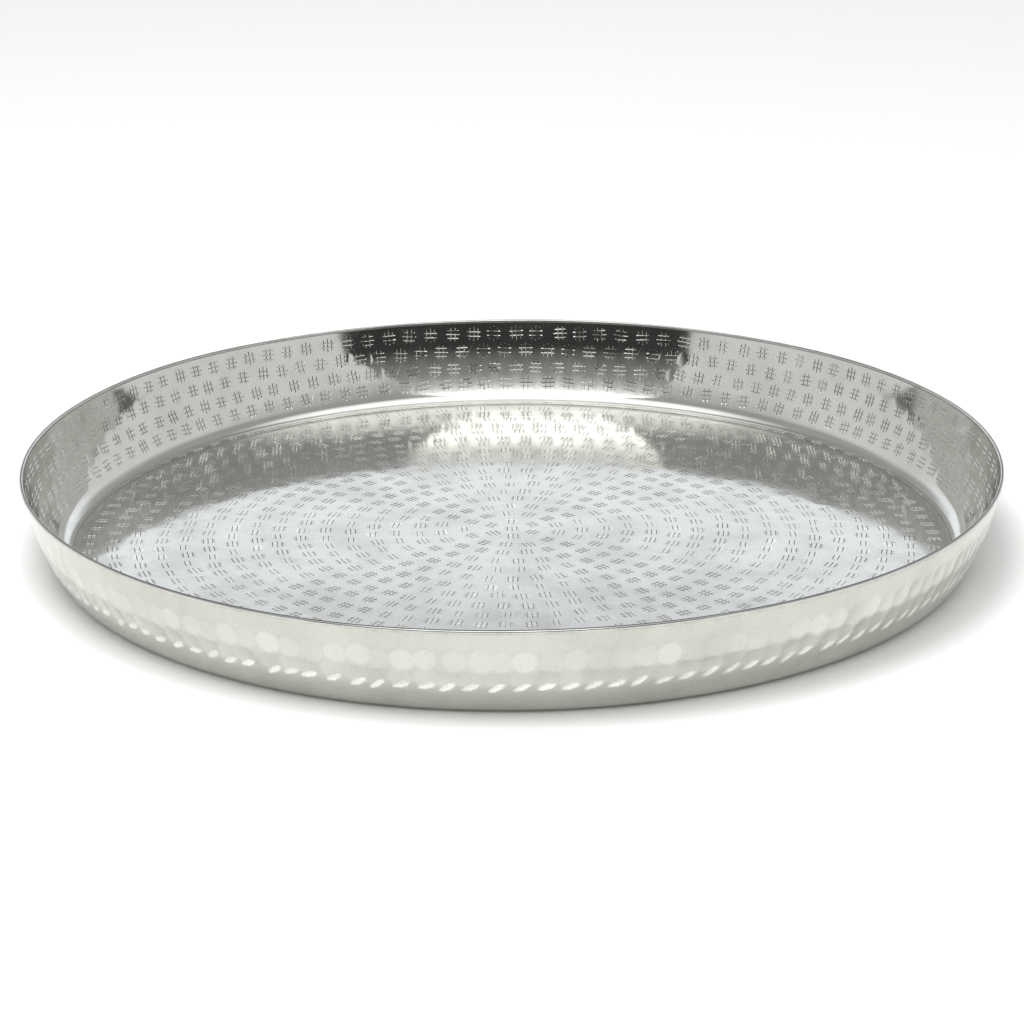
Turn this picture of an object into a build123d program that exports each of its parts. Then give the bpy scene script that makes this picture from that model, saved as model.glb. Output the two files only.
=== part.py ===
"""Round hammered serving tray, about half a metre across, with a double wall.

Two bowls of thin sheet nest in each other. The inner dish carries food or glasses and has a
slightly crowned floor. The outer shell follows it outside and stands on the table. A rounded
bead runs round the rim and closes the two sheet edges.

The wall is upright-ish at the rim, leans out more and more on its way down (the belly), then
turns tightly into the base (the corner). Every face of both sheets is that one outline, moved
inwards by an inset.

Millimetres, +Z up. The origin is on the tray's axis, at table height.
"""
import os
from math import asin, cos, degrees, radians, sin

from build123d import *

# Driving dimensions
RIM_RADIUS = 250.0        # widest radius, at the rim bead
TRAY_HEIGHT = 47.0        # table to the top of the rim bead
RIM_LEAN = 13.5           # degrees that the wall leans outwards at the rim
FOOT_LEAN = 30.0          # degrees that it leans where it meets the corner
BELLY_RADIUS = 106.0      # curve of the wall between those two leans, on the outside
CORNER_RADIUS = 12.0      # outside radius between wall and base
SHEET = 0.8               # thickness of each sheet
SKIN_GAP = 0.2            # air between the two sheets up the wall

BEAD_RADIUS = 1.0         # half the rim bead's width, and the height of its rounded top
BEAD_SKIRT = 0.8          # straight sides of the bead, below its rounding
BEAD_FLATS = 5            # the rounding is dressed in this many narrow flats

CREASE_RADIUS = 226.0     # where the dish floor turns up into its cove
FLOOR_CROWN = 3.2         # how much higher the dish floor is at its centre

STANDING_RING = 14.0      # width of the flat ring that the shell stands on
BASE_LIFT = 0.5           # how far the base is pushed up inside that ring
LIFT_SLOPE = 8.0          # radial width of the slope between ring and pushed-up base

# Worked out from them. A turn is counted in degrees from straight down.
rim_turn = 90.0 - RIM_LEAN
foot_turn = 90.0 - FOOT_LEAN
lean_sin = sin(radians(RIM_LEAN))
lean_cos = cos(radians(RIM_LEAN))
stack = 2 * SHEET + SKIN_GAP                     # both sheets and the air between them
bead_inset = stack / 2                           # the bead sits over the middle of the stack

bead_r = RIM_RADIUS - BEAD_RADIUS                # centre of the bead's rounding
bead_z = TRAY_HEIGHT - BEAD_RADIUS
corner_rise = CORNER_RADIUS * (1 - cos(radians(foot_turn)))
corner_reach = CORNER_RADIUS * sin(radians(foot_turn))
belly_rise = BELLY_RADIUS * (cos(radians(foot_turn)) - cos(radians(rim_turn)))
belly_reach = BELLY_RADIUS * (sin(radians(rim_turn)) - sin(radians(foot_turn)))
wall_length = (bead_z - corner_rise - belly_rise - bead_inset * lean_sin) / lean_cos
wall_reach = wall_length * lean_sin - bead_inset * lean_cos
base_radius = bead_r - wall_reach - belly_reach - corner_reach
sheet_end = wall_length - BEAD_SKIRT             # the sheets stop here and the bead begins

ring_inner = base_radius - STANDING_RING
lift_outer = ring_inner - LIFT_SLOPE

dish_outside = SHEET + SKIN_GAP                  # insets of the dish's two faces
dish_inside = stack
crease_turn = degrees(asin((CREASE_RADIUS - base_radius) / (CORNER_RADIUS - dish_inside)))


def corner_point(inset, turn):
    """Point on the corner, from turn 0 at the base to foot_turn at the foot of the wall."""
    radius = CORNER_RADIUS - inset
    return (
        base_radius + radius * sin(radians(turn)),
        CORNER_RADIUS - radius * cos(radians(turn)),
    )


def belly_point(inset, turn):
    """Point on the belly, from foot_turn up to rim_turn."""
    foot_r, foot_z = corner_point(inset, foot_turn)
    radius = BELLY_RADIUS - inset
    return (
        foot_r + radius * (sin(radians(turn)) - sin(radians(foot_turn))),
        foot_z + radius * (cos(radians(foot_turn)) - cos(radians(turn))),
    )


def wall_point(inset, length):
    """Point on the straight top of the wall, length up from the belly."""
    start_r, start_z = belly_point(inset, rim_turn)
    return (start_r + length * lean_sin, start_z + length * lean_cos)


def curve(point, inset, first_turn, last_turn):
    """Arc of the corner or the belly between two turns."""
    return ThreePointArc(
        point(inset, first_turn),
        point(inset, (first_turn + last_turn) / 2),
        point(inset, last_turn),
    )


# Outer shell: pushed-up base, flat standing ring, corner, belly and straight wall
with BuildPart() as outer_shell:
    with BuildSketch(Plane.XZ):
        with BuildLine():
            Polyline(
                (0, BASE_LIFT),
                (lift_outer, BASE_LIFT),
                (ring_inner, 0),
                corner_point(0, 0),
            )
            curve(corner_point, 0, 0, foot_turn)
            curve(belly_point, 0, foot_turn, rim_turn)
            Polyline(
                wall_point(0, 0),
                wall_point(0, sheet_end),
                wall_point(SHEET, sheet_end),
                wall_point(SHEET, 0),
            )
            curve(belly_point, SHEET, rim_turn, foot_turn)
            curve(corner_point, SHEET, foot_turn, 0)
            Polyline(
                corner_point(SHEET, 0),
                (ring_inner, SHEET),
                (lift_outer, BASE_LIFT + SHEET),
                (0, BASE_LIFT + SHEET),
                (0, BASE_LIFT),
            )
        make_face()
    revolve(axis=Axis.Z)

# Inner dish: crowned floor, crease, cove, belly and straight wall
floor_edge_top = corner_point(dish_inside, crease_turn)
floor_edge_under = corner_point(dish_outside, crease_turn)
floor_centre_top = (0, floor_edge_top[1] + FLOOR_CROWN)
floor_centre_under = (0, floor_edge_under[1] + FLOOR_CROWN)

with BuildPart() as inner_dish:
    with BuildSketch(Plane.XZ):
        with BuildLine():
            TangentArc(floor_centre_under, floor_edge_under, tangent=(1, 0))
            curve(corner_point, dish_outside, crease_turn, foot_turn)
            curve(belly_point, dish_outside, foot_turn, rim_turn)
            Polyline(
                wall_point(dish_outside, 0),
                wall_point(dish_outside, sheet_end),
                wall_point(dish_inside, sheet_end),
                wall_point(dish_inside, 0),
            )
            curve(belly_point, dish_inside, rim_turn, foot_turn)
            curve(corner_point, dish_inside, foot_turn, crease_turn)
            TangentArc(floor_centre_top, floor_edge_top, tangent=(1, 0))
            Line(floor_centre_top, floor_centre_under)
        make_face()
    revolve(axis=Axis.Z)


# Rim bead: sits on both sheet edges, with straight sides below and a half-round top
def bead_point(turn):
    """Point on the rounding, turn degrees from the bead's outer side over the top to its inner side."""
    inset = bead_inset - BEAD_RADIUS * cos(radians(turn))
    length = wall_length + BEAD_RADIUS * sin(radians(turn))
    return wall_point(inset, length)


with BuildPart() as rim_bead:
    with BuildSketch(Plane.XZ):
        with BuildLine():
            Polyline(
                wall_point(bead_inset + BEAD_RADIUS, sheet_end),
                wall_point(bead_inset - BEAD_RADIUS, sheet_end),
                *[bead_point(180 * step / BEAD_FLATS) for step in range(BEAD_FLATS + 1)],
                close=True,
            )
        make_face()
    revolve(axis=Axis.Z)

# One file for each piece
outer_shell.part.label = "outer_shell"
inner_dish.part.label = "inner_dish"
rim_bead.part.label = "rim_bead"

os.makedirs("parts", exist_ok=True)
export_step(outer_shell.part, "parts/outer_shell.step")
export_step(inner_dish.part, "parts/inner_dish.step")
export_step(rim_bead.part, "parts/rim_bead.step")

print(f"wall length {wall_length:.2f}, base radius {base_radius:.2f}, crease turn {crease_turn:.1f}")
print(f"dish floor at its edge {floor_edge_top[1]:.2f}, at its centre {floor_centre_top[1]:.2f}")
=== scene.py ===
"""Looks of a round double-walled tray: cross-hatch punched inside, hammered outside.

Lengths are in metres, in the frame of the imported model: +Z up, origin on the tray's axis at table
height. The smooth sheets of the model are replaced by worked ones of the same outline.
"""
import math
import random

import bmesh
import bpy
import numpy as np
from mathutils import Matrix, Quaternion, Vector


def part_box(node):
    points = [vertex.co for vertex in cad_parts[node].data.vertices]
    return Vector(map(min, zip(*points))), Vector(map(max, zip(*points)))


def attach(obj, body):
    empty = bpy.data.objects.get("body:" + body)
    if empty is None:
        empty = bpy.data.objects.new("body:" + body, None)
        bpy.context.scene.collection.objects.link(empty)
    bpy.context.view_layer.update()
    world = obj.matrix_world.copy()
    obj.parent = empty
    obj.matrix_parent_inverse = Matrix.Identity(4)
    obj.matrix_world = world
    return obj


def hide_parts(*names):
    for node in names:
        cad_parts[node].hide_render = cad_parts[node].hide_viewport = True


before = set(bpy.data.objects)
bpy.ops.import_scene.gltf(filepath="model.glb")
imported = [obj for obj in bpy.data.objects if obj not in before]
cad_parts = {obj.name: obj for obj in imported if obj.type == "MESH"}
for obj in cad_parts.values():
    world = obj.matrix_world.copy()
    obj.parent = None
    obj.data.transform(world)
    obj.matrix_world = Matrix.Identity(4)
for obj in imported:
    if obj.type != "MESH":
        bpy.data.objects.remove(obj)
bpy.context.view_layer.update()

MM = 0.001
TAU = 2 * math.pi

# The tray's outline, as the model has it. A turn is counted from straight down.
rim_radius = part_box("rim_bead")[1].x
tray_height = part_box("rim_bead")[1].z
RIM_TURN = math.radians(90 - 13.5)
FOOT_TURN = math.radians(90 - 30.0)
BELLY_RADIUS = 106 * MM
CORNER_RADIUS = 12 * MM
SHEET = 0.8 * MM
SKIN_GAP = 0.2 * MM
BEAD_RADIUS = 1.0 * MM
BEAD_SKIRT = 0.8 * MM
CREASE_RADIUS = 226 * MM
FLOOR_CROWN = 3.2 * MM
STANDING_RING = 14 * MM
BASE_LIFT = 0.5 * MM
LIFT_SLOPE = 8 * MM

STACK = 2 * SHEET + SKIN_GAP
# How far the two faces of the dish lie inside the outer face of the shell.
DISH_OUTSIDE = SHEET + SKIN_GAP
DISH_INSIDE = STACK
bead_r = rim_radius - BEAD_RADIUS
bead_z = tray_height - BEAD_RADIUS
corner_rise = CORNER_RADIUS * (1 - math.cos(FOOT_TURN))
belly_rise = BELLY_RADIUS * (math.cos(FOOT_TURN) - math.cos(RIM_TURN))
belly_reach = BELLY_RADIUS * (math.sin(RIM_TURN) - math.sin(FOOT_TURN))
wall_length = (bead_z - corner_rise - belly_rise - STACK / 2 * math.cos(RIM_TURN)) / math.sin(RIM_TURN)
wall_reach = wall_length * math.cos(RIM_TURN) - STACK / 2 * math.sin(RIM_TURN)
base_radius = bead_r - wall_reach - belly_reach - CORNER_RADIUS * math.sin(FOOT_TURN)
sheet_end = wall_length - BEAD_SKIRT
crease_turn = math.asin((CREASE_RADIUS - base_radius) / (CORNER_RADIUS - DISH_INSIDE))


def face_length(inset, first_turn=0.0):
    """Length of a sheet face from first_turn on the corner up to the straight wall."""
    corner = (CORNER_RADIUS - inset) * (FOOT_TURN - first_turn)
    return corner + (BELLY_RADIUS - inset) * (RIM_TURN - FOOT_TURN)


def outline(inset, travel, first_turn=0.0):
    """Radius, height and outward normal of a sheet face, travel up from first_turn on the corner."""
    travel = np.asarray(travel, float)
    corner = CORNER_RADIUS - inset
    belly = BELLY_RADIUS - inset
    corner_length = corner * (FOOT_TURN - first_turn)
    on_belly = FOOT_TURN + (travel - corner_length) / belly
    turn = np.where(travel < corner_length, first_turn + travel / corner, on_belly)
    turn = np.minimum(turn, RIM_TURN)
    low = np.minimum(turn, FOOT_TURN)
    high = np.maximum(turn, FOOT_TURN)
    straight = np.maximum(travel - face_length(inset, first_turn), 0)
    r = base_radius + corner * np.sin(low) + belly * (np.sin(high) - math.sin(FOOT_TURN))
    z = CORNER_RADIUS - corner * np.cos(low) + belly * (math.cos(FOOT_TURN) - np.cos(high))
    r = r + straight * math.cos(RIM_TURN)
    z = z + straight * math.sin(RIM_TURN)
    return r, z, np.sin(turn), -np.cos(turn)


def hand_wobble(angle, z):
    """How far hand work has pushed the wall out and the rim up, growing towards the rim."""
    share = np.clip(z / tray_height, 0, 1) ** 2
    out = 0.30 * np.cos(2 * angle) - 0.45 * np.cos(4 * angle) + 0.08 * np.sin(7 * angle + 4.0)
    up = 0.30 * np.sin(2 * angle + 2.5) + 0.18 * np.sin(5 * angle + 1.2) + 0.07 * np.sin(11 * angle)
    return out * share * MM, up * share * MM


class Sheet:
    """Points and faces of one worked piece, gathered before its mesh is made.

    Each point also has a share of painted light, from 0 to 1: painted shade in punch grooves, creases and the
    rim's seam, painted highlight on hammer facets and nicks."""

    def __init__(self):
        self.points = []
        self.painted_light = []
        self.faces = []

    def add(self, points, painted_light=None):
        """Adds points, each with its share of painted light, and returns their numbers."""
        first = len(self.points)
        self.points.extend(map(tuple, points))
        self.painted_light.extend(np.zeros(len(points)) if painted_light is None else painted_light)
        return list(range(first, first + len(points)))

    def strip(self, low, high):
        """Quads between two closed rings of the same count."""
        for i in range(len(low)):
            j = (i + 1) % len(low)
            self.faces.append((low[i], low[j], high[j], high[i]))

    def lace(self, low, low_angles, high, high_angles):
        """Triangles between two closed rings of any counts, matched by angle."""
        low_steps = [*low_angles, low_angles[0] + TAU]
        high_steps = [*high_angles, high_angles[0] + TAU]
        i = j = 0
        while i < len(low) or j < len(high):
            a, b = low[i % len(low)], high[j % len(high)]
            if j == len(high) or (i < len(low) and low_steps[i + 1] <= high_steps[j + 1]):
                i += 1
                self.faces.append((a, low[i % len(low)], b))
            else:
                j += 1
                self.faces.append((a, high[j % len(high)], b))

    def cap(self, ring, centre):
        """Closes a ring with triangles to a point."""
        for i in range(len(ring)):
            self.faces.append((ring[i], ring[(i + 1) % len(ring)], centre))

    def build(self, name, material, node, sharp):
        """Makes the mesh, rides it on the tray and lets it stand for its node."""
        mesh = bpy.data.meshes.new(name)
        mesh.from_pydata(self.points, [], self.faces)
        work = bmesh.new()
        work.from_mesh(mesh)
        bmesh.ops.recalc_face_normals(work, faces=work.faces)
        work.to_mesh(mesh)
        work.free()
        mesh.attributes.new("painted_light", "FLOAT", "POINT").data.foreach_set("value", self.painted_light)
        mesh.shade_smooth()
        mesh.set_sharp_from_angle(angle=math.radians(sharp))
        mesh.materials.append(material)
        piece = bpy.data.objects.new(name, mesh)
        bpy.context.scene.collection.objects.link(piece)
        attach(piece, "root")
        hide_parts(node)
        return piece


def ring_angles(count, shift=0.0):
    return (np.arange(count) + shift) * TAU / count


def circle(angles, r, z):
    return np.column_stack([r * np.cos(angles), r * np.sin(angles), z * np.ones_like(angles)])


# The punch cuts three bars across two uprights. The middle bar is the longest. Depths are in millimetres.
BAR_PITCH = 2.4 * MM
UPRIGHT_PLACE = 1.3 * MM
LINE_HALF = 0.27 * MM
LINE_TAPER = 0.35 * MM
LONG_BAR = 4.15 * MM
SHORT_BAR = 3.3 * MM
UPRIGHT_END = 3.85 * MM
PUNCH_DEPTHS = (0.17, 0.27)
USUAL_TURN = 3.5
MOST_TURN = 5
# A punch held a little out of upright bites deeper on one side.
TIP_SPREAD = 0.25
BITE_LIMITS = (0.2, 1.3)
SPARE = 0.1 * MM


def punch_grid():
    """Where the points of a mark lie across and along it, and how deep, from 0 to 1. The depth share also
    sets the painted shade in the grooves.
    """
    lines = [bar * BAR_PITCH + edge * LINE_HALF for bar in (-1, 0, 1) for edge in (-1, 0, 1)]
    rows = np.array([-UPRIGHT_END, *lines, UPRIGHT_END])
    bar_end = np.where(np.abs(rows) < BAR_PITCH / 2, LONG_BAR, SHORT_BAR)
    columns = [-bar_end, LINE_TAPER - bar_end]
    for side in (-1, 1):
        columns += [np.full_like(rows, side * UPRIGHT_PLACE + edge * LINE_HALF) for edge in (-1, 0, 1)]
    columns += [bar_end - LINE_TAPER, bar_end]
    across = np.stack(columns)
    along = np.broadcast_to(rows, across.shape)
    deep = np.zeros(across.shape)
    deep[1:-1, 2::3] = 1
    deep[3::3, 1:-1] = 1
    deep[-1] = 0
    return across, along, deep


PUNCH_ACROSS, PUNCH_ALONG, PUNCH_DEEP = punch_grid()


def grid_loop(columns, rows):
    """Numbers of a grid's border points, once round."""
    loop = [(i, 0) for i in range(columns - 1)]
    loop += [(columns - 1, j) for j in range(rows - 1)]
    loop += [(i, rows - 1) for i in range(columns - 1, 0, -1)]
    loop += [(0, j) for j in range(rows - 1, 0, -1)]
    return np.array([i * rows + j for i, j in loop])


PUNCH_LOOP = grid_loop(*PUNCH_DEEP.shape)


def by_angle(numbers, across, along):
    """The numbers and their angles round the mark's middle, in order of angle."""
    angles = np.arctan2(along, across) % TAU
    order = np.argsort(angles)
    return np.asarray(numbers)[order].tolist(), angles[order].tolist()


# Slow waves left in the sheet by the blows: waves round the tray, waves per metre up it, and depth.
WAVES = ((9, 11.0, 0.030), (23, 17.0, 0.018), (41, -23.0, 0.012), (67, 31.0, 0.008))
WAVE_FADE = 8 * MM
FLOOR_RIPPLE = 0.014 * MM


def beaten(angle, travel):
    """How far the sheet stands out of true at a place, in metres."""
    waves = [depth * np.sin(count * angle + TAU * rate * travel + count) for count, rate, depth in WAVES]
    return sum(waves) * MM


class DishFloor:
    """The dish's crowned floor. Travel is the radius.

    Place finds points from how far they lie across and along a mark's middle. Local does the reverse."""

    def height(self, r):
        edge = CORNER_RADIUS - (CORNER_RADIUS - DISH_INSIDE) * math.cos(crease_turn)
        return edge + FLOOR_CROWN * (1 - (r / CREASE_RADIUS) ** 2)

    def place(self, angle, travel, across, along, lift):
        x = (travel + along) * np.cos(angle) - across * np.sin(angle)
        y = (travel + along) * np.sin(angle) + across * np.cos(angle)
        r = np.hypot(x, y)
        turn = np.arctan2(y, x)
        ripple = FLOOR_RIPPLE * np.sin(TAU * r / RING_PITCH) * np.sin(31 * turn + 3 * np.sin(5 * turn))
        wave = (beaten(turn, r) + ripple) * r / CREASE_RADIUS
        return np.stack([x, y, self.height(r) + wave + lift], axis=-1)

    def local(self, angle, travel, other_angle, other_travel):
        across = other_travel * np.sin(other_angle - angle)
        along = other_travel * np.cos(other_angle - angle) - travel
        return across, along


class DishWall:
    """The dish's inside wall. Travel goes up from the crease. Place and local are as on the floor."""

    def place(self, angle, travel, across, along, lift):
        r, z, out, up = outline(DISH_INSIDE, travel + along, crease_turn)
        turn = angle + across / r
        push, rise = hand_wobble(turn, z)
        lift = lift + beaten(turn, travel + along) * np.minimum(travel + along, WAVE_FADE) / WAVE_FADE
        reach = r + push - lift * out
        return np.stack([reach * np.cos(turn), reach * np.sin(turn), z + rise - lift * up], axis=-1)

    def local(self, angle, travel, other_angle, other_travel):
        r = outline(DISH_INSIDE, travel, crease_turn)[0]
        return (other_angle - angle) * r, other_travel - travel


def clipped(hand, spread, most):
    return min(max(hand.gauss(0, spread), -most), most)


def strike(sheet, face, angle, travel, border, room, hand):
    """Punches one mark inside a border of (number, angle, travel) points and laces it to them.

    Room is how far the mark may slip from the middle of its cell, sideways and along."""
    turn = math.radians(clipped(hand, USUAL_TURN, MOST_TURN) + hand.choice((0, 90)))
    shift = [clipped(hand, 0.5 * most, most) for most in room]
    depth = hand.uniform(*PUNCH_DEPTHS) * MM
    tip = (hand.gauss(0, TIP_SPREAD), hand.gauss(0, TIP_SPREAD))
    bite = 1 + tip[0] * PUNCH_ACROSS / LONG_BAR + tip[1] * PUNCH_ALONG / UPRIGHT_END
    across = PUNCH_ACROSS * math.cos(turn) - PUNCH_ALONG * math.sin(turn)
    along = PUNCH_ACROSS * math.sin(turn) + PUNCH_ALONG * math.cos(turn)
    lift = -depth * np.clip(bite, *BITE_LIMITS) * PUNCH_DEEP
    points = face.place(angle, travel, across + shift[0], along + shift[1], lift)
    # The groove points get painted shade by their depth share.
    numbers = sheet.add(points.reshape(-1, 3), PUNCH_DEEP.ravel())
    columns, rows = PUNCH_DEEP.shape
    for i in range(columns - 1):
        for j in range(rows - 1):
            a = numbers[i * rows + j]
            sheet.faces.append((a, a + rows, a + rows + 1, a + 1))
    loop = np.asarray(numbers)[PUNCH_LOOP]
    mark = by_angle(loop, across.ravel()[PUNCH_LOOP], along.ravel()[PUNCH_LOOP])
    edge_numbers, edge_angles, edge_travels = zip(*border)
    far_across, far_along = face.local(angle, travel, np.array(edge_angles), np.array(edge_travels))
    sheet.lace(*mark, *by_angle(edge_numbers, far_across - shift[0], far_along - shift[1]))


def punched_ring(sheet, face, travel, low, high, angles, first, count, side_room, hand):
    """A ring of marks, each in its own cell between two borders of (point numbers, travel)."""
    most_reach = LONG_BAR + SHORT_BAR * math.sin(math.radians(MOST_TURN)) + SPARE
    room = (side_room, max(min(travel - low[1], high[1] - travel) - most_reach, 0))
    pieces = len(angles) // count
    step = TAU / len(angles)
    for mark in range(count):
        start = first + mark * pieces
        border = [
            (numbers[number % len(angles)], angles[0] + number * step, border_travel)
            for numbers, border_travel in (low, high)
            for number in range(start, start + pieces + 1)
        ]
        middle = angles[0] + (start + pieces / 2) * step
        strike(sheet, face, middle, travel, border, room, hand)


WALL_MARKS = 123
WALL_PIECES = 4
CENTRE_POINTS = 8
FLOOR_RINGS = 18
RING_PITCH = 12.05 * MM
MARK_PITCH = 12 * MM
CELL_GAP = 0.35 * MM
CREASE_HALF = 0.45 * MM
CREASE_DEPTH = 0.04 * MM
FLOOR_SLIP = 0.4 * MM
UNDER_RINGS = ((120, 200 * MM), (60, 120 * MM), (24, 50 * MM))
# Edges turned by more degrees than this stay crisp.
PUNCHED_SHARP = 8
HAMMERED_SHARP = 40
BEAD_SHARP = 50


def make_dish_floor(material):
    """The crowned floor, punched in rings from the middle out to the crease."""
    hand = random.Random(7)
    sheet = Sheet()
    face = DishFloor()
    half = RING_PITCH / 2 - CELL_GAP
    angles = ring_angles(CENTRE_POINTS)
    ring = sheet.add(face.place(angles, half, 0, 0, 0))
    strike(sheet, face, 0.0, 0.0, [(n, a, half) for n, a in zip(ring, angles)], (0, 0), hand)
    for number in range(1, FLOOR_RINGS + 1):
        travel = number * RING_PITCH
        count = round(TAU * travel / MARK_PITCH)
        next_angles = ring_angles(2 * count, 2 * hand.random())
        low, high = (sheet.add(face.place(next_angles, travel + side, 0, 0, 0)) for side in (-half, half))
        sheet.lace(ring, angles, low, next_angles)
        borders = ((low, travel - half), (high, travel + half))
        punched_ring(sheet, face, travel, *borders, next_angles, 0, count, FLOOR_SLIP, hand)
        ring, angles = high, next_angles
    rim_angles = ring_angles(WALL_PIECES * WALL_MARKS)
    lip = sheet.add(face.place(rim_angles, CREASE_RADIUS - CREASE_HALF, 0, 0, 0))
    sheet.lace(ring, angles, lip, rim_angles)
    # The crease ring is sunk a little and gets full painted shade.
    crease = sheet.add(face.place(rim_angles, CREASE_RADIUS, 0, 0, -CREASE_DEPTH), np.ones(len(rim_angles)))
    sheet.strip(lip, crease)
    r, z, _, _ = outline(DISH_OUTSIDE, 0.0, crease_turn)
    under = sheet.add(circle(rim_angles, r, z))
    sheet.strip(crease, under)
    for count, r in UNDER_RINGS:
        angles = ring_angles(count)
        ring = sheet.add(circle(angles, r, face.height(r) - SHEET))
        sheet.lace(under, rim_angles, ring, angles)
        under, rim_angles = ring, angles
    sheet.cap(under, sheet.add([(0, 0, face.height(0) - SHEET)])[0])
    return sheet.build("dish_floor", material, "inner_dish", PUNCHED_SHARP)


ROW_HEIGHTS = (11.6 * MM, 19.8 * MM, 29.3 * MM, 39.25 * MM)
END_ROW_REACH = 5 * MM
WALL_SLIP = 1.0 * MM
COVE_RINGS = 10
BACK_ROWS = 16
TRAVEL_STEPS = 400


def wall_ring(sheet, face, travel, angles):
    return sheet.add(face.place(angles, travel, 0, 0, 0))


def make_dish_wall(material):
    """The wall above the crease: a smooth cove, four rows of marks and a plain lip."""
    hand = random.Random(23)
    sheet = Sheet()
    face = DishWall()
    top = face_length(DISH_INSIDE, crease_turn) + sheet_end
    travels = np.linspace(0, top, TRAVEL_STEPS)
    heights = outline(DISH_INSIDE, travels, crease_turn)[1]
    rows = [float(np.interp(height, heights, travels)) for height in ROW_HEIGHTS]
    angles = ring_angles(WALL_PIECES * WALL_MARKS)
    # The crease ring is sunk a little and gets full painted shade.
    first = last = sheet.add(face.place(angles, 0, 0, 0, -CREASE_DEPTH), np.ones(len(angles)))
    borders = [(low + high) / 2 for low, high in zip(rows, rows[1:])]
    borders = [rows[0] - END_ROW_REACH, *borders, rows[-1] + END_ROW_REACH]
    for travel in np.linspace(CREASE_HALF, borders[0], COVE_RINGS):
        ring = wall_ring(sheet, face, travel, angles)
        sheet.strip(last, ring)
        last = ring
    for low, travel, high in zip(borders, rows, borders[1:]):
        ring = wall_ring(sheet, face, high, angles)
        phase = hand.randrange(WALL_PIECES)
        cells = ((last, low), (ring, high))
        punched_ring(sheet, face, travel, *cells, angles, phase, WALL_MARKS, WALL_SLIP, hand)
        last = ring
    for travel in ((borders[-1] + top) / 2, top):
        ring = wall_ring(sheet, face, travel, angles)
        sheet.strip(last, ring)
        last = ring
    back_top = face_length(DISH_OUTSIDE, crease_turn) + sheet_end
    for travel in np.linspace(back_top, 0, BACK_ROWS):
        r, z, _, _ = outline(DISH_OUTSIDE, travel, crease_turn)
        push, rise = hand_wobble(angles, z)
        ring = sheet.add(circle(angles, r + push, z + rise))
        sheet.strip(last, ring)
        last = ring
    sheet.strip(last, first)
    return sheet.build("dish_wall", material, "inner_dish", PUNCHED_SHARP)


# Rows of hammer blows outside: how far below the rim, how deep the blows are and how strong their painted
# highlight is.
BLOW_ROWS = ((6.0 * MM, 0.14 * MM, 0.07), (16.5 * MM, 0.48 * MM, 0.26), (26.5 * MM, 0.54 * MM, 0.20),
             (40.5 * MM, 0.30 * MM, 0.10))
BLOW_COUNT = 142
BLOW_REACH = 6.3 * MM
# Usual and most that a blow strays, in shares of the spacing round the wall and in metres up it.
ROUND_STRAY = (0.09, 0.2)
UP_STRAY = (0.6 * MM, 1.2 * MM)
# Shares of a row's reach, depth and painted highlight that a blow gets.
REACH_SHARES = (0.88, 1.0)
FORCE_SHARES = (0.75, 1.2)
HIGHLIGHT_SHARES = (0.2, 1.0)
# Slanting nicks on the lower side of the third row, pressed in and given a painted glint. Long and wide are
# half sizes.
NICK_ROW = 2
NICK_DROP = 4.6 * MM
NICK_LONG = 4.5 * MM
NICK_WIDE = 1.6 * MM
NICK_SLANT = math.radians(24)
NICK_STRAY = (0.12, 0.25)
NICK_DEPTH = 0.5 * MM
NICK_HIGHLIGHT = (0.7, 1.0)
# Painted highlight on the base's soft blows.
BASE_HIGHLIGHT = 0.2
SHELL_SEGMENTS = 1562
SHELL_ROWS = 58
BACK_SEGMENTS = 240
# Rings of points on the base: points in a ring, outermost and innermost radius, in whole millimetres.
BASE_BANDS = ((480, 222, 120), (240, 117, 60), (120, 57, 3))
BASE_STEP = 3
BASE_BLOW_PITCH = 13 * MM
BASE_BLOW_REACH = 7.5 * MM
BASE_BLOW_DEPTH = 0.1 * MM
BASE_STRAY = (0.08, 0.15)


def strike_shell(press, painted_highlight, travels, angles, r, blow, push, highlight_level):
    """Presses one blow into the grid and paints a highlight over it. Blow is its angle, travel, half length,
    half width and slant.
    """
    angle, travel, long, wide, slant = blow
    step = TAU / len(angles)
    middle = round(angle / step)
    spread = int(long / r / step) + 1
    near = np.arange(middle - spread, middle + spread + 1)
    rows = np.flatnonzero(np.abs(travels - travel) < long)
    across = (near * step - angle)[None, :] * r
    along = travels[rows, None] - travel
    length = (across * math.cos(slant) + along * math.sin(slant)) / long
    width = (along * math.cos(slant) - across * math.sin(slant)) / wide
    inside = 1 - length**2 - width**2
    spot = np.ix_(rows, near % len(angles))
    press[spot] = np.maximum(press[spot], push * inside)
    # Painted highlight over the blow, strongest in its middle.
    painted_highlight[spot] = np.maximum(painted_highlight[spot], highlight_level * np.clip(4 * inside, 0, 1))


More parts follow.
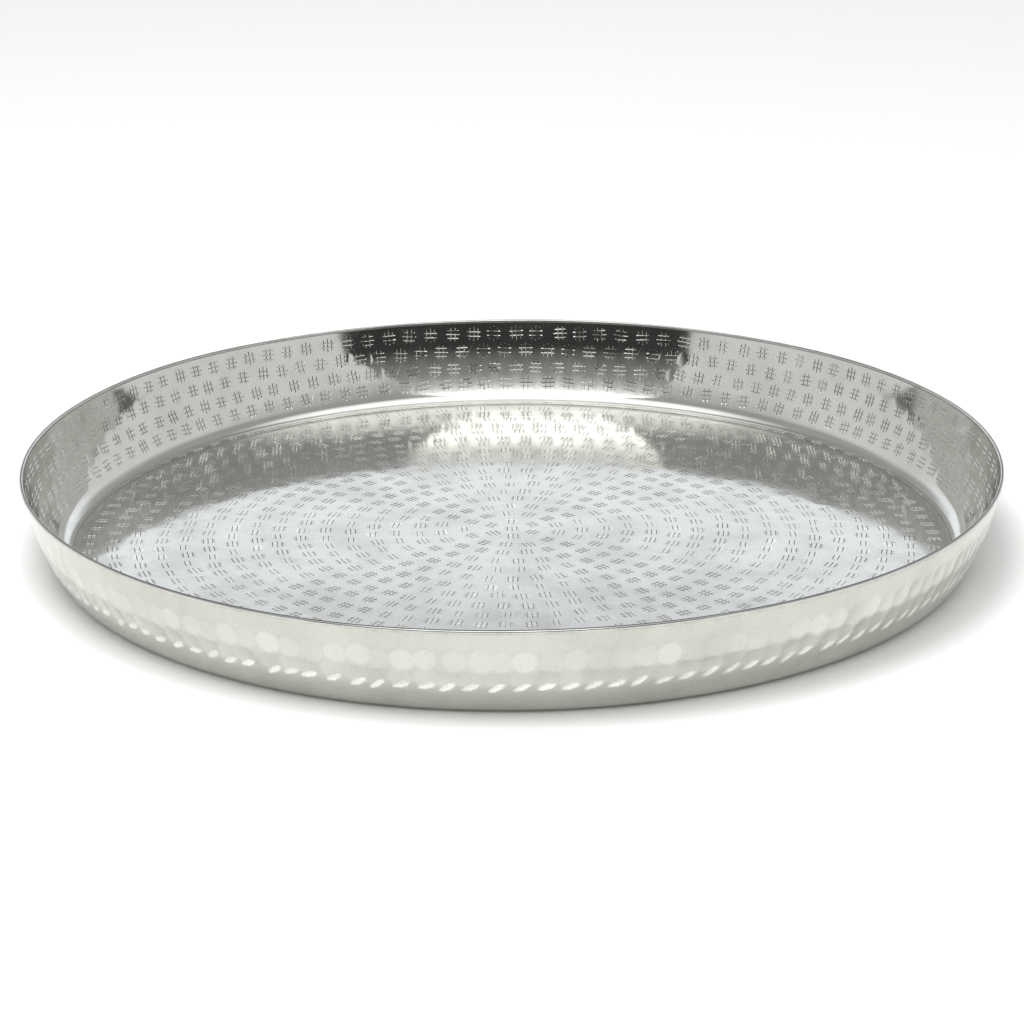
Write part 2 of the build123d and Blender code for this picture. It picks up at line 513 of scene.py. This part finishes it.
def hammered_wall(hand, travels, angles, radii, depths):
    """How far the blows push in each point of the wall's grid, rows by angles, and how much painted highlight
    it gets.
    """
    press = np.zeros((len(travels), len(angles)))
    painted_highlight = np.zeros_like(press)
    for row, (row_depth, force, row_highlight) in enumerate(BLOW_ROWS):
        row_travel = float(np.interp(-row_depth, -depths, travels))
        r = float(np.interp(row_travel, travels, radii))
        phase = hand.random()
        for blow in range(BLOW_COUNT):
            angle = (blow + phase + clipped(hand, *ROUND_STRAY)) * TAU / BLOW_COUNT
            travel = row_travel + clipped(hand, *UP_STRAY)
            reach = BLOW_REACH * hand.uniform(*REACH_SHARES)
            push = force * hand.uniform(*FORCE_SHARES)
            highlight_level = row_highlight * hand.uniform(*HIGHLIGHT_SHARES)
            strike_shell(press, painted_highlight, travels, angles, r, (angle, travel, reach, reach, 0.0), push, highlight_level)
            # Each nick gets a painted glint, stronger than the facet's painted highlight.
            if row == NICK_ROW:
                slant = NICK_SLANT + clipped(hand, *NICK_STRAY)
                nick = (angle, travel - NICK_DROP, NICK_LONG, NICK_WIDE, slant)
                strike_shell(press, painted_highlight, travels, angles, r, nick, NICK_DEPTH, hand.uniform(*NICK_HIGHLIGHT))
    return press, painted_highlight


def base_height(r):
    """Height of the base's underside: a flat standing ring with the middle pushed up."""
    start = base_radius - STANDING_RING
    lift = np.clip((start - r) / LIFT_SLOPE, 0, 1)
    return BASE_LIFT * lift * lift * (3 - 2 * lift)


def base_press(x, y, blows):
    """How far the base's soft blows push up the points of a ring."""
    away = (x[:, None] - blows[:, 0]) ** 2 + (y[:, None] - blows[:, 1]) ** 2
    return BASE_BLOW_DEPTH * np.max(np.clip(1 - away / BASE_BLOW_REACH**2, 0, 1), axis=1)


def base_blows(hand):
    """Middles of the blows on the base, in rings out to the standing ring."""
    blows = [(0.0, 0.0)]
    for ring in range(1, int((base_radius - STANDING_RING - LIFT_SLOPE) / BASE_BLOW_PITCH) + 1):
        r = ring * BASE_BLOW_PITCH
        count = round(TAU * r / BASE_BLOW_PITCH)
        for angle in ring_angles(count, hand.random()):
            turn = angle + clipped(hand, *BASE_STRAY) * BASE_BLOW_PITCH / r
            blows.append((r * math.cos(turn), r * math.sin(turn)))
    return np.array(blows)


def make_shell(material):
    """The outer shell: hammered wall, rolled corner, standing ring and pushed-up base."""
    hand = random.Random(41)
    sheet = Sheet()
    angles = ring_angles(SHELL_SEGMENTS)
    top = face_length(0) + sheet_end
    travels = np.linspace(0, top, SHELL_ROWS)
    radii, heights, out, up = outline(0, travels)
    press, painted_highlight = hammered_wall(hand, travels, angles, radii, tray_height - heights)
    rings = []
    for i in range(SHELL_ROWS):
        push, rise = hand_wobble(angles, heights[i])
        reach = radii[i] + push - press[i] * out[i]
        points = circle(angles, reach, heights[i] + rise - press[i] * up[i])
        rings.append(sheet.add(points, painted_highlight[i]))
    for low, high in zip(rings, rings[1:]):
        sheet.strip(low, high)
    back_angles = ring_angles(BACK_SEGMENTS)
    back_top = face_length(SHEET) + sheet_end
    last, last_angles = rings[-1], angles
    for travel in np.linspace(back_top, 0, BACK_ROWS):
        r, z, _, _ = outline(SHEET, travel)
        push, rise = hand_wobble(back_angles, z)
        ring = sheet.add(circle(back_angles, r + push, z + rise))
        sheet.lace(last, last_angles, ring, back_angles)
        last, last_angles = ring, back_angles
    for r in (base_radius - STANDING_RING, base_radius - STANDING_RING - LIFT_SLOPE):
        ring = sheet.add(circle(back_angles, r, base_height(r) + SHEET))
        sheet.strip(last, ring)
        last = ring
    sheet.cap(last, sheet.add([(0, 0, BASE_LIFT + SHEET)])[0])
    blows = base_blows(hand)
    last, last_angles = rings[0], angles
    for count, start, end in BASE_BANDS:
        ring_turns = ring_angles(count)
        for r in range(start, end - 1, -BASE_STEP):
            points = circle(ring_turns, r * MM, base_height(r * MM))
            push = base_press(points[:, 0], points[:, 1], blows)
            points[:, 2] += push
            # The base's soft blows get a faint painted highlight by how far they push.
            ring = sheet.add(points, push / BASE_BLOW_DEPTH * BASE_HIGHLIGHT)
            sheet.lace(last, last_angles, ring, ring_turns)
            last, last_angles = ring, ring_turns
    sheet.cap(last, sheet.add([(0, 0, BASE_LIFT + BASE_BLOW_DEPTH)])[0])
    return sheet.build("outer_shell_hammered", material, "outer_shell", HAMMERED_SHARP)


BEAD_SEGMENTS = 720
BEAD_STEPS = 12
BEAD_EASE = 0.15 * MM
SEAM_TURN = math.radians(100)
SEAM_HALF = math.radians(30)
SEAM_DEPTH = 0.15 * MM


def make_bead(material):
    """The rim bead: a rounded cap over both sheets' edges, with a short skirt down each face.

    A fine groove runs round its top, where the two sheets meet, coloured near black as painted shade."""
    sheet = Sheet()
    seam_floor = BEAD_RADIUS - SEAM_DEPTH
    arc = [(math.pi * step / BEAD_STEPS, BEAD_RADIUS, 0) for step in range(BEAD_STEPS + 1)]
    arc = [part for part in arc if abs(part[0] - SEAM_TURN) > SEAM_HALF]
    for side in (-1, 1):
        arc.append((SEAM_TURN + side * SEAM_HALF, BEAD_RADIUS, 0))
        arc.append((SEAM_TURN + side * SEAM_HALF / 2, seam_floor, 1))
    arc.sort()
    section = [(BEAD_RADIUS - BEAD_EASE, -BEAD_SKIRT, 0), (BEAD_RADIUS, BEAD_EASE - BEAD_SKIRT, 0)]
    section += [(reach * math.cos(turn), reach * math.sin(turn), seam) for turn, reach, seam in arc]
    section += [(-BEAD_RADIUS, BEAD_EASE - BEAD_SKIRT, 0), (BEAD_EASE - BEAD_RADIUS, -BEAD_SKIRT, 0)]
    angles = ring_angles(BEAD_SEGMENTS)
    out_r, out_z = math.sin(RIM_TURN), -math.cos(RIM_TURN)
    rings = []
    # The groove's points get full painted shade.
    for across, along, seam in section:
        r = bead_r + across * out_r - along * out_z
        z = bead_z + across * out_z + along * out_r
        push, rise = hand_wobble(angles, z)
        rings.append(sheet.add(circle(angles, r + push, z + rise), np.full(len(angles), float(seam))))
    for low, high in zip(rings, rings[1:] + rings[:1]):
        sheet.strip(low, high)
    return sheet.build("rim_bead_rolled", material, "rim_bead", BEAD_SHARP)


def put(tree, kind, inputs=None, **settings):
    """Adds a node. An input is given a value, or the socket that feeds it."""
    made = tree.nodes.new(kind)
    for key, value in settings.items():
        setattr(made, key, value)
    for key, value in (inputs or {}).items():
        if isinstance(value, bpy.types.NodeSocket):
            tree.links.new(value, made.inputs[key])
        else:
            made.inputs[key].default_value = value
    return made


def calculate(tree, operation, first, second=0.0):
    return put(tree, "ShaderNodeMath", {0: first, 1: second}, operation=operation).outputs[0]


def remap(tree, value, low, high, to_low, to_high, smooth=False):
    shape = "SMOOTHSTEP" if smooth else "LINEAR"
    inputs = {"Value": value, "From Min": low, "From Max": high, "To Min": to_low, "To Max": to_high}
    return put(tree, "ShaderNodeMapRange", inputs, interpolation_type=shape).outputs["Result"]


# Bands of noise that turn into clouds and pits, and how slowly the lines change round a turn.
CLOUD_BAND = (0.38, 0.68)
PIT_BAND = (0.66, 0.74)
LINE_STRETCH = 0.0016
GRIME = (0.12, 0.12, 0.11, 1)
GRIME_SHARE = 0.25
STREAK_ROUGHNESS = 0.06
LEAST_ROUGHNESS = 0.02
LINE_RELIEF = 0.6
RELIEF_DEPTH = 0.02 * MM


def worn_polish_group():
    """Cloudy tarnish, small pits and fine round polishing lines, as a metal polisher leaves them."""
    group = bpy.data.node_groups.new("worn_polish", "ShaderNodeTree")
    for name, value in (("Cloud Scale", 30.0), ("Line Scale", 2500.0), ("Pit Scale", 1500.0)):
        socket = group.interface.new_socket(name=name, in_out="INPUT", socket_type="NodeSocketFloat")
        socket.default_value = value
    for name in ("Tarnish", "Lines", "Pits"):
        group.interface.new_socket(name=name, in_out="OUTPUT", socket_type="NodeSocketFloat")
    given = put(group, "NodeGroupInput")
    place = put(group, "ShaderNodeTexCoord").outputs["Object"]
    clouds = {"Vector": place, "Scale": given.outputs["Cloud Scale"], "Detail": 6.0, "Roughness": 0.62}
    cloud = put(group, "ShaderNodeTexNoise", clouds).outputs[0]
    tarnish = remap(group, cloud, *CLOUD_BAND, 0.0, 1.0, smooth=True)
    flat = put(group, "ShaderNodeSeparateXYZ", {0: place})
    x, y, z = (flat.outputs[axis] for axis in "XYZ")
    across = calculate(group, "ADD", calculate(group, "MULTIPLY", x, x), calculate(group, "MULTIPLY", y, y))
    r = calculate(group, "SQRT", across)
    turn = calculate(group, "MULTIPLY", calculate(group, "ARCTAN2", y, x), LINE_STRETCH)
    polar = put(group, "ShaderNodeCombineXYZ", {0: r, 1: turn, 2: z}).outputs[0]
    lines = {"Vector": polar, "Scale": given.outputs["Line Scale"], "Detail": 2.0}
    line = put(group, "ShaderNodeTexNoise", lines).outputs[0]
    pits = {"Vector": place, "Scale": given.outputs["Pit Scale"], "Detail": 1.0}
    pit = remap(group, put(group, "ShaderNodeTexNoise", pits).outputs[0], *PIT_BAND, 0.0, 1.0)
    given_out = put(group, "NodeGroupOutput", {"Tarnish": tarnish, "Lines": line, "Pits": pit})
    given_out.is_active_output = True
    return group


def metal(name, polish, clean, dull, blow, smooth, worn, painted_light_share, bump, scales):
    """A polished metal with dull clouds, lines and pits, and painted shade or painted highlight where points
    carry painted light.

    Blow is the colour of the painted shade or painted highlight, mixed in by each point's share. Smooth and
    worn are the roughnesses of clean and dull metal.
    Scales are those of the clouds, the lines and the pits."""
    material = bpy.data.materials.new(name)
    material.use_nodes = True
    tree = material.node_tree
    tree.nodes.clear()
    wear = put(tree, "ShaderNodeGroup", node_tree=polish)
    for key, value in zip(("Cloud Scale", "Line Scale", "Pit Scale"), scales):
        wear.inputs[key].default_value = value
    tarnish, lines, pits = (wear.outputs[key] for key in ("Tarnish", "Lines", "Pits"))
    # Each point's share of painted light mixes in the blow colour as painted shade or painted highlight.
    painted_light = put(tree, "ShaderNodeAttribute", attribute_name="painted_light").outputs["Fac"]
    tint = put(tree, "ShaderNodeMix", {0: tarnish, 6: clean, 7: dull}, data_type="RGBA").outputs[2]
    painted_light_mix = calculate(tree, "MULTIPLY", painted_light, painted_light_share)
    painted_tint = put(tree, "ShaderNodeMix", {0: painted_light_mix, 6: tint, 7: blow}, data_type="RGBA").outputs[2]
    grime = calculate(tree, "MULTIPLY", pits, GRIME_SHARE)
    soiled = {0: grime, 6: painted_tint, 7: GRIME}
    colour = put(tree, "ShaderNodeMix", soiled, data_type="RGBA").outputs[2]
    cloudy = remap(tree, tarnish, 0.0, 1.0, smooth, worn)
    streak = calculate(tree, "MULTIPLY", calculate(tree, "SUBTRACT", lines, 0.5), STREAK_ROUGHNESS)
    rough = calculate(tree, "MAXIMUM", calculate(tree, "ADD", cloudy, streak), LEAST_ROUGHNESS)
    height = calculate(tree, "SUBTRACT", calculate(tree, "MULTIPLY", lines, LINE_RELIEF), pits)
    relief = put(tree, "ShaderNodeBump", {"Strength": bump, "Distance": RELIEF_DEPTH, "Height": height})
    shader = put(tree, "ShaderNodeBsdfPrincipled", {
        "Base Color": colour, "Metallic": 1.0, "Roughness": rough, "Normal": relief.outputs[0],
    })
    put(tree, "ShaderNodeOutputMaterial", {"Surface": shader.outputs[0]})
    return material


def make_pieces():
    polish = worn_polish_group()
    # The floor's near-black blow colour is painted shade in the punch grooves and the crease.
    floor = metal(
        "punched_floor_metal", polish, clean=(0.71, 0.71, 0.68, 1), dull=(0.62, 0.62, 0.585, 1),
        blow=(0.06, 0.06, 0.056, 1), smooth=0.07, worn=0.13, painted_light_share=0.8, bump=0.25,
        scales=(28, 2200, 1400),
    )
    # The wall's near-black blow colour is painted shade in the punch grooves and the crease, at a lower
    # share.
    wall = metal(
        "punched_wall_metal", polish, clean=(0.755, 0.758, 0.725, 1), dull=(0.69, 0.69, 0.655, 1),
        blow=(0.06, 0.06, 0.056, 1), smooth=0.06, worn=0.11, painted_light_share=0.35, bump=0.25,
        scales=(28, 2200, 1400),
    )
    # The hammered metal's near-white blow colour is painted highlight on the facets and a painted glint on
    # the nicks.
    hammered = metal(
        "hammered_shell_metal", polish, clean=(0.57, 0.569, 0.52, 1), dull=(0.515, 0.513, 0.465, 1),
        blow=(0.95, 0.945, 0.88, 1), smooth=0.07, worn=0.13, painted_light_share=1.0, bump=0.3,
        scales=(22, 1800, 1100),
    )
    # The rim bead's near-black blow colour is painted shade in the groove where the sheets meet.
    beaded = metal(
        "rim_bead_metal", polish, clean=(0.60, 0.60, 0.575, 1), dull=(0.50, 0.50, 0.475, 1),
        blow=(0.05, 0.05, 0.047, 1), smooth=0.10, worn=0.20, painted_light_share=1.0, bump=0.3,
        scales=(60, 3000, 1500),
    )
    make_dish_floor(floor)
    make_dish_wall(wall)
    make_shell(hammered)
    make_bead(beaded)


SKY_STRENGTH = 2.5
FRONT_WIDTH = 46
FRONT_EDGE = 1
FRONT_LEAN = (4.0, 26.0)
BACK_WIDTH = 35
BACK_EDGE = 15


def elevation(degrees):
    """Place on a ramp that runs with the sine of the elevation."""
    return math.sin(math.radians(degrees))


def ramp(tree, value, stops):
    """A colour ramp from (elevation in degrees, colour up to SKY_STRENGTH) stops."""
    made = put(tree, "ShaderNodeValToRGB", {0: value})
    elements = made.color_ramp.elements
    while len(elements) > 1:
        elements.remove(elements[-1])
    for number, (degrees, colour) in enumerate(stops):
        spot = elements[0] if number == 0 else elements.new(elevation(degrees))
        spot.position = elevation(degrees)
        spot.color = (*(part / SKY_STRENGTH for part in colour), 1)
    return made.outputs[0]


def grey(value, warm=0.0):
    """A radiance with a little warmth, red above blue."""
    return (value * (1 + warm), value, value * (1 - warm))


def make_studio():
    """A white overhead light, a dark front, pale sides and a white back.

    The front reaches FRONT_WIDTH degrees to each side and narrows upwards, more on the right."""
    world = bpy.data.worlds.new("studio")
    bpy.context.scene.world = world
    world.use_nodes = True
    tree = world.node_tree
    tree.nodes.clear()
    place = put(tree, "ShaderNodeTexCoord").outputs["Generated"]
    x, y, z = (put(tree, "ShaderNodeSeparateXYZ", {0: place}).outputs[axis] for axis in "XYZ")
    side = calculate(tree, "ARCTAN2", x, calculate(tree, "MULTIPLY", y, -1.0))
    turned = calculate(tree, "MULTIPLY", calculate(tree, "ABSOLUTE", side), 180 / math.pi)
    right_side = calculate(tree, "GREATER_THAN", side)
    lean = remap(tree, right_side, 0.0, 1.0, *FRONT_LEAN)
    reach = calculate(tree, "ADD", turned, calculate(tree, "MULTIPLY", z, lean))
    front = remap(tree, reach, FRONT_WIDTH - FRONT_EDGE, FRONT_WIDTH + FRONT_EDGE, 1.0, 0.0, smooth=True)
    back_start = 180 - BACK_WIDTH
    back = remap(tree, turned, back_start - BACK_EDGE, back_start + BACK_EDGE, 0.0, 1.0, smooth=True)
    front_light = ramp(tree, z, [
        (0, grey(0.40)), (3, grey(0.25)), (7, grey(0.035)), (13, grey(0.05)), (16, grey(0.13, 0.02)),
        (20, grey(0.18, 0.03)), (30, grey(0.32)), (37, grey(0.62)), (43, grey(1.6)), (50, grey(2.4)),
        (62, grey(2.5)), (76, grey(1.6)), (90, grey(1.5)),
    ])
    side_light = ramp(tree, z, [
        (0, grey(0.74)), (27, grey(0.74)), (34, grey(0.55)), (39, grey(0.40)), (54, grey(0.40)),
        (66, grey(1.4)), (90, grey(1.6)),
    ])
    back_light = ramp(tree, z, [
        (0, grey(1.12, -0.02)), (21, grey(1.08, -0.045)), (28, grey(0.45)), (58, grey(0.25)),
        (70, grey(0.7)), (80, grey(1.5)), (90, grey(1.5)),
    ])
    mixed = put(tree, "ShaderNodeMix", {0: front, 6: side_light, 7: front_light}, data_type="RGBA").outputs[2]
    sky = put(tree, "ShaderNodeMix", {0: back, 6: mixed, 7: back_light}, data_type="RGBA").outputs[2]
    light = put(tree, "ShaderNodeBackground", {"Color": sky, "Strength": SKY_STRENGTH})
    put(tree, "ShaderNodeOutputWorld", {"Surface": light.outputs[0]})


def make_light(name, size, energy, place):
    """A round soft light that points at the tray and isn't itself seen or mirrored."""
    data = bpy.data.lights.new(name, "AREA")
    data.shape = "DISK"
    data.size = size
    data.energy = energy
    light = bpy.data.objects.new(name, data)
    light.location = place
    light.rotation_mode = "QUATERNION"
    light.rotation_quaternion = (-light.location).to_track_quat("-Z", "Y")
    light.visible_camera = False
    light.visible_glossy = False
    bpy.context.scene.collection.objects.link(light)


TABLE_REACH = 11.0
TABLE_SEGMENTS = 96
TABLE_DROP = 0.1 * MM
TABLE_LAP = 1.0 * MM
TABLE_COLOUR = (0.93, 0.93, 0.925, 1)


def make_floor():
    """A plain pale tabletop that runs out of sight.

    It is open where the tray hides it and clear from underneath, so that the base can be looked at."""
    mesh = bpy.data.meshes.new("tabletop")
    angles = ring_angles(TABLE_SEGMENTS)
    points = []
    for r in (base_radius - TABLE_LAP, TABLE_REACH):
        points.extend(circle(angles, r, -TABLE_DROP).tolist())
    faces = []
    for i in range(TABLE_SEGMENTS):
        after = (i + 1) % TABLE_SEGMENTS
        faces.append((i, i + TABLE_SEGMENTS, after + TABLE_SEGMENTS, after))
    mesh.from_pydata(points, [], faces)
    material = bpy.data.materials.new("pale_tabletop")
    material.use_nodes = True
    tree = material.node_tree
    shader = tree.nodes["Principled BSDF"]
    shader.inputs["Base Color"].default_value = TABLE_COLOUR
    shader.inputs["Roughness"].default_value = 0.9
    shader.inputs["Specular IOR Level"].default_value = 0.2
    clear = put(tree, "ShaderNodeBsdfTransparent")
    side = put(tree, "ShaderNodeNewGeometry").outputs["Backfacing"]
    both = put(tree, "ShaderNodeMixShader", {0: side, 1: shader.outputs[0], 2: clear.outputs[0]})
    tree.links.new(both.outputs[0], tree.nodes["Material Output"].inputs["Surface"])
    mesh.materials.append(material)
    floor = bpy.data.objects.new("tabletop", mesh)
    bpy.context.scene.collection.objects.link(floor)


CAMERA_DISTANCE = 1.6
CAMERA_LENS = 109.7
CAMERA_RISE = math.radians(18.3)
CAMERA_ROLL = math.radians(0.43)
AIM_HEIGHT = 14.2 * MM


def make_camera():
    """A long lens that looks down into the tray, rolled by a hair."""
    data = bpy.data.cameras.new("camera")
    data.lens = CAMERA_LENS
    camera = bpy.data.objects.new("camera", data)
    bpy.context.scene.collection.objects.link(camera)
    rim_middle = Vector((0, 0, tray_height))
    reach = Vector((0, -math.cos(CAMERA_RISE), math.sin(CAMERA_RISE)))
    camera.location = rim_middle + reach * CAMERA_DISTANCE
    look = Vector((0, 0, AIM_HEIGHT)) - camera.location
    camera.rotation_mode = "QUATERNION"
    camera.rotation_quaternion = look.to_track_quat("-Z", "Y") @ Quaternion((0, 0, 1), -CAMERA_ROLL)
    bpy.context.scene.camera = camera


make_pieces()
make_studio()
make_light("key_light", size=1.0, energy=16, place=(-0.3, -0.35, 1.8))
make_light("front_fill", size=1.4, energy=7, place=(-0.2, -1.6, 0.6))
make_floor()
make_camera()
bpy.context.scene.view_settings.view_transform = "Standard"
